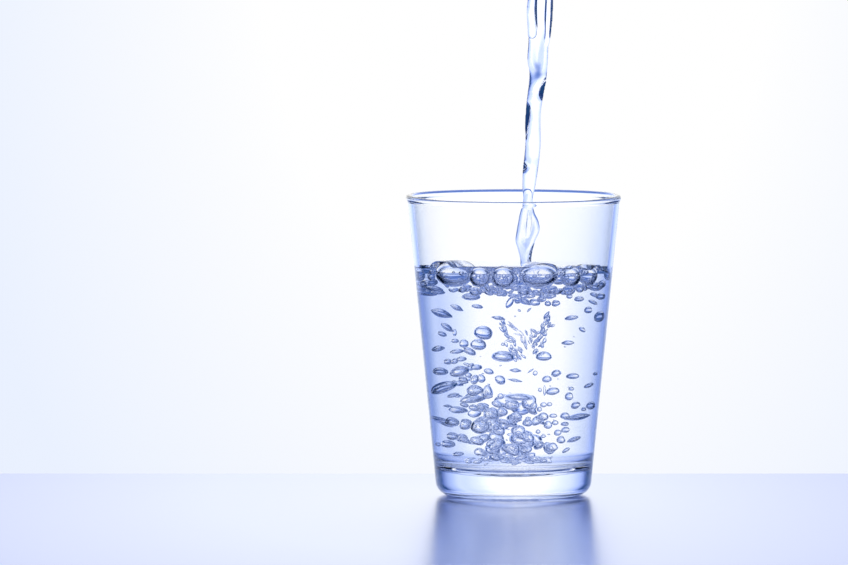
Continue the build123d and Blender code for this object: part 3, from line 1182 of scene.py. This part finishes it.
@dataclass
class PouringJet:
    """The falling water: a ribbon that splits into two strands at the top. Sizes in millimetres.

    Attributes:
        wedge_slope: Slope at which a wedge throws light that comes straight through to the side.
        voxel: How coarse the mesh is in which the strands melt together.
        blunt_foot: Where the rounding of a strand's foot starts.
        blunt_head: Where the rounding of its head starts.
        rounding: Height over which its ends are rounded.
    """

    wedge_slope: float = 1.02
    voxel: float = 0.24
    segments: int = 48
    step: float = 0.6
    blunt_foot: float = 0.4
    blunt_head: float = 0.05
    rounding: float = 1.4

    def strand(self, sections: Sequence[JetSection]) -> tuple[list[Vector], list[list[int]]]:
        """A closed strand through its sections.

        Args:
            sections: The sections, from the lowest up.

        Returns:
            Its vertices and its faces.
        """
        heights = [s.height for s in sections]
        count = max(4, round((heights[-1] - heights[0]) / self.step))
        n = self.segments
        vertices: list[Vector] = []
        for z in np.linspace(heights[0], heights[-1], count + 1):
            offset, width, depth, waist, left, right = (
                smooth_through(heights, [getattr(s, name) for s in sections], float(z))
                for name in ("offset", "width", "depth", "waist", "left", "right")
            )
            slope = self.wedge_slope * width / depth
            end = min(z - heights[0] + self.blunt_foot, heights[-1] - z + self.blunt_head)
            round_off = math.sqrt(min(1.0, max(0.02, end / self.rounding)))
            for i in range(n):
                angle = 2 * math.pi * i / n
                u = math.cos(angle)
                oval = abs(math.sin(angle)) * (1 - waist * (1 - u * u) ** 2)
                at_left, at_right = slope * (1 + u) + 1 - left, slope * (1 - u) + 1 - right
                thick = math.copysign(min(oval, at_left, at_right), math.sin(angle))
                x, y = offset + width / 2 * u * round_off, depth / 2 * thick * round_off
                vertices.append(Vector((x, y, z)))
        faces = [
            [r * n + i, r * n + (i + 1) % n, (r + 1) * n + (i + 1) % n, (r + 1) * n + i]
            for r in range(count)
            for i in range(n)
        ]
        faces += [list(reversed(range(n))), list(range(count * n, (count + 1) * n))]
        return vertices, faces

    def build(self) -> bpy.types.Object:
        """Makes the jet, which stands for the CAD model's plainer one."""
        shell = Shell()
        for sections in (JET, LEFT_STRAND, RIGHT_STRAND, FOLD):
            shell.add(*self.strand(sections))
        made = shell.piece("falling_jet", FALLING_WATER.material(), "water")
        melt = made.modifiers.new("melt_together", "REMESH")
        melt.mode = "VOXEL"
        melt.voxel_size = self.voxel * MM
        melt.use_smooth_shade = True
        ease = made.modifiers.new("ease", "SMOOTH")
        ease.factor = 0.5
        ease.iterations = 4
        bake_modifiers(made)
        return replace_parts(made, "pour_stream")


def smooth_through(places: Sequence[float], values: Sequence[float], at: float) -> float:
    """Value at a place, on the smooth curve through the values at other places.

    Args:
        places: The other places, in order.
        values: The value at each.
        at: The place.

    Returns:
        The value there.
    """
    k = min(max(np.searchsorted(places, at) - 1, 0), len(places) - 2)
    span = places[k + 1] - places[k]
    t = (at - places[k]) / span

    def slope(i: int) -> float:
        """Slope of the curve at one of the places."""
        low, high = max(i - 1, 0), min(i + 1, len(places) - 1)
        return (values[high] - values[low]) / (places[high] - places[low])

    return (
        values[k] * (1 + 2 * t) * (1 - t) ** 2
        + span * slope(k) * t * (1 - t) ** 2
        + values[k + 1] * t * t * (3 - 2 * t)
        + span * slope(k + 1) * t * t * (t - 1)
    )


def bake_modifiers(piece: bpy.types.Object) -> None:
    """Applies a piece's modifiers to its mesh."""
    graph = bpy.context.evaluated_depsgraph_get()
    mesh = bpy.data.meshes.new_from_object(piece.evaluated_get(graph))
    piece.modifiers.clear()
    piece.data = mesh


# The studio ---------------------------------------------------------------------------------------


@dataclass
class Studio:
    """Table, surroundings and camera. Lengths in metres, angles in degrees.

    Attributes:
        table_edge: How far behind the tumbler's axis the table ends.
        painted_light_tones: Tint of the table's gloss by how far it is from the camera's aim:
            painted light, the real reflection dimmed and blued away from a pool in the middle.
        walls: Tone of the walls by how far round they are from the lit one, towards +X if positive.
        droop: How much further round a direction counts, as a share of how far it points down.
        rise: The same, for how far it points up.
        ceiling_from: Elevations between which the walls become the ceiling.
        floor_from: Elevations between which they become what is under the table.
        painted_glow_at: Middle of the painted pool of light on the backdrop behind the tumbler, as
            the X and Z of a direction; only the camera sees it, and it lights nothing.
        painted_glow_height: How fast it fades upwards, as a share of how fast it fades sideways.
        painted_glow_tones: Its tone by how far out a direction is, 1 being a tenth.
    """

    table_edge: float = 0.108
    camera_distance: float = 4.28
    camera_height: float = 0.329
    aim: tuple[float, float, float] = (-0.0333, 0.0, 0.0792)
    lens_mm: float = 489.5
    painted_light_tones: tuple[tuple[float, str], ...] = (
        (0, "#E4E7F4"), (0.08, "#DDE2F2"), (0.156, "#D0D6EC"), (0.2, "#C6CDE7"),
    )
    walls: tuple[tuple[float, str], ...] = (
        (-180, "#566CAC"), (-140, "#2A4478"), (-110, "#183A68"), (-70, "#183A68"), (-64, "#1E4070"),
        (-60, "#5068AC"), (-55, "#8EA4E6"), (-48, "#B0C4FD"), (-38, "#D0DDFF"), (-30, "#DCE7FF"),
        (-22, "#EEF4FF"), (-16, "#FFFFFF"), (11, "#FFFFFF"), (17, "#EAF2FF"), (21, "#DAE5FF"),
        (30, "#C6D5FD"), (36, "#CBD9FE"), (43, "#ADC1F5"), (49, "#9AAFEA"), (54, "#8095D6"),
        (59, "#5068AC"), (62, "#1E4070"), (70, "#183A68"), (110, "#183A68"), (140, "#2A4478"),
        (180, "#566CAC"),
    )
    droop: float = 3.0
    rise: float = 0.6
    ceiling: str = "#B4C5F4"
    ceiling_from: tuple[float, float] = (36, 66)
    under_the_table: str = "#5A76BE"
    floor_from: tuple[float, float] = (-8, -16)
    room_light: float = 1.25
    painted_glow_at: tuple[float, float] = (0.008, -0.03)
    painted_glow_height: float = 0.7
    painted_glow_tones: tuple[tuple[float, str], ...] = (
        (0, "#FFFFFF"), (0.22, "#FFFFFF"), (0.5, "#EAF1FF"), (1, "#E4EBFC"),
    )

    def camera(self) -> bpy.types.Object:
        """A long lens, a little above the table."""
        data = bpy.data.cameras.new("camera")
        data.lens = self.lens_mm
        data.sensor_width = 36.0
        data.clip_end = 50.0
        made = bpy.data.objects.new("camera", data)
        bpy.context.scene.collection.objects.link(made)
        made.location = (self.aim[0], -self.camera_distance, self.camera_height)
        made.rotation_euler = (Vector(self.aim) - made.location).to_track_quat("-Z", "Y").to_euler()
        bpy.context.scene.camera = made
        return made

    def table(self) -> bpy.types.Object:
        """A pale satin table top, whose back edge is a little way behind the tumbler."""
        half_width, front, thick, ease = 1.6, -1.6, 0.024, 0.0015
        edge = self.table_edge
        shell = Shell()
        outline = [(front, 0.0), (edge - ease, 0.0), (edge, -ease), (edge, -thick), (front, -thick)]
        for x in (-half_width, half_width):
            shell.vertices.extend((x / MM, y / MM, z / MM) for y, z in outline)
        n = len(outline)
        shell.faces = [[i, (i + 1) % n, n + (i + 1) % n, n + i] for i in range(n)]
        shell.faces += [list(reversed(range(n))), list(range(n, 2 * n))]
        made = shell.object("table", self.satin_laminate())
        return made

    def satin_laminate(self) -> bpy.types.Material:
        """Pale satin laminate with painted light: its gloss is brightest in the middle, dimmer and
        bluer towards the sides.
        """
        made = bpy.data.materials.new("satin_laminate")
        made.use_nodes = True
        tree = made.node_tree
        tree.nodes.clear()
        place = add_node(tree, "NewGeometry")
        from_middle = add_node(
            tree,
            "VectorMath",
            {0: place.outputs["Position"], 1: (1.0, 0.32, 0.0), 2: (-self.aim[0], 0, 0)},
            operation="MULTIPLY_ADD",
        )
        spot = add_node(tree, "VectorMath", {0: from_middle.outputs[0]}, operation="LENGTH")
        reach = self.painted_light_tones[-1][0]
        limits = {1: 0.0, 2: reach, 3: 0.0, 4: 1.0}
        fall = add_node(tree, "MapRange", {0: spot.outputs["Value"]} | limits)
        # Painted light: the gloss colour falls off with distance from the middle, a painted pool of
        # light over the real reflection.
        painted_pool = add_node(tree, "ValToRGB", {0: fall.outputs[0]})
        fill_ramp(painted_pool.color_ramp, self.painted_light_tones, 0, reach)
        gloss = add_node(tree, "BsdfGlossy", {"Color": painted_pool.outputs[0], "Roughness": 0.22})
        matt = add_node(tree, "BsdfDiffuse", {"Color": linear("#C6CCE2")})
        slant = add_node(tree, "Fresnel", {"IOR": 1.5})
        mixed = add_node(
            tree, "MixShader", {0: slant.outputs[0], 1: matt.outputs[0], 2: gloss.outputs[0]}
        )
        add_node(tree, "OutputMaterial", {0: mixed.outputs[0]})
        return made

    def surroundings(self) -> bpy.types.World:
        """A wide lit wall behind, a dimmer blue room round it; the camera sees a painted glow."""
        world = bpy.data.worlds.new("room")
        bpy.context.scene.world = world
        world.use_nodes = True
        tree = world.node_tree
        tree.nodes.clear()
        place = add_node(tree, "TexCoord")
        axes = add_node(tree, "SeparateXYZ", {0: place.outputs["Generated"]})
        x, y, z = axes.outputs

        def maths(operation: str, *values: Any) -> Any:
            """Output of a maths node over one or two values."""
            return add_node(tree, "Math", dict(enumerate(values)), operation=operation).outputs[0]

        def blend(base: Any, other: str, start: float, end: float) -> Any:
            """The base colour, blended into another one between two elevations."""
            low, high = math.sin(math.radians(start)), math.sin(math.radians(end))
            limits = {0: z, 1: low, 2: high, 3: 0.0, 4: 1.0}
            share = add_node(tree, "MapRange", limits, interpolation_type="SMOOTHSTEP")
            return add_node(
                tree, "Mix", {0: share.outputs[0], 6: base, 7: linear(other)}, data_type="RGBA"
            ).outputs[2]

        round_about = maths("ARCTAN2", x, y)
        downwards, upwards = maths("MULTIPLY", z, -self.droop), maths("MULTIPLY", z, self.rise)
        sloping = maths("MAXIMUM", downwards, upwards)
        further = maths("ADD", round_about, maths("MULTIPLY", maths("SIGN", round_about), sloping))
        wall = add_node(tree, "ValToRGB", {0: maths("MULTIPLY_ADD", further, 0.5 / math.pi, 0.5)})
        fill_ramp(wall.color_ramp, self.walls, -180, 180)
        room = blend(wall.outputs[0], self.ceiling, *self.ceiling_from)
        room = blend(room, self.under_the_table, *self.floor_from)
        lit = add_node(tree, "Background", {"Color": room, "Strength": self.room_light})
        # Painted light: rays from the camera see a bright patch fading outwards, a painted pool of
        # light on the backdrop that lights nothing.
        across = maths("SUBTRACT", x, self.painted_glow_at[0])
        up = maths("MULTIPLY", maths("SUBTRACT", z, self.painted_glow_at[1]), self.painted_glow_height)
        squares = maths("ADD", maths("POWER", across, 2.0), maths("POWER", up, 2.0))
        shown = add_node(tree, "ValToRGB", {0: maths("MULTIPLY", maths("SQRT", squares), 10.0)})
        fill_ramp(shown.color_ramp, self.painted_glow_tones, 0, 1)
        behind = add_node(tree, "Background", {"Color": shown.outputs[0]})
        is_seen = add_node(tree, "LightPath").outputs["Is Camera Ray"]
        either = add_node(tree, "MixShader", {0: is_seen, 1: lit.outputs[0], 2: behind.outputs[0]})
        add_node(tree, "OutputWorld", {0: either.outputs[0]})
        return world

    def build(self) -> None:
        """Makes the stage, and lets light pass through many clear surfaces."""
        self.camera()
        self.table()
        self.surroundings()
        scene = bpy.context.scene
        scene.view_settings.view_transform = "Standard"
        scene.cycles.max_bounces = 32
        scene.cycles.transmission_bounces = 32
        scene.cycles.glossy_bounces = 8
        scene.cycles.transparent_max_bounces = 32


def fill_ramp(
    ramp: bpy.types.ColorRamp, stops: Sequence[tuple[float, str]], low: float, high: float
) -> None:
    """Sets a colour ramp's stops.

    Args:
        ramp: The ramp.
        stops: Place and sRGB colour of each stop.
        low: The place where the ramp starts.
        high: The place where it ends.
    """
    while len(ramp.elements) < len(stops):
        ramp.elements.new(1.0)
    for element, (place, colour) in zip(ramp.elements, stops):
        element.position = (place - low) / (high - low)
        element.color = linear(colour)


def main() -> None:
    """Builds the tumbler, its water and its jet, and the stage round them."""
    logging.basicConfig(level=logging.INFO, format="%(message)s")
    Studio().build()
    tumbler = Tumbler()
    tumbler.build()
    Water(tumbler).build()
    PouringJet().build()


if __name__ == "__main__":
    main()
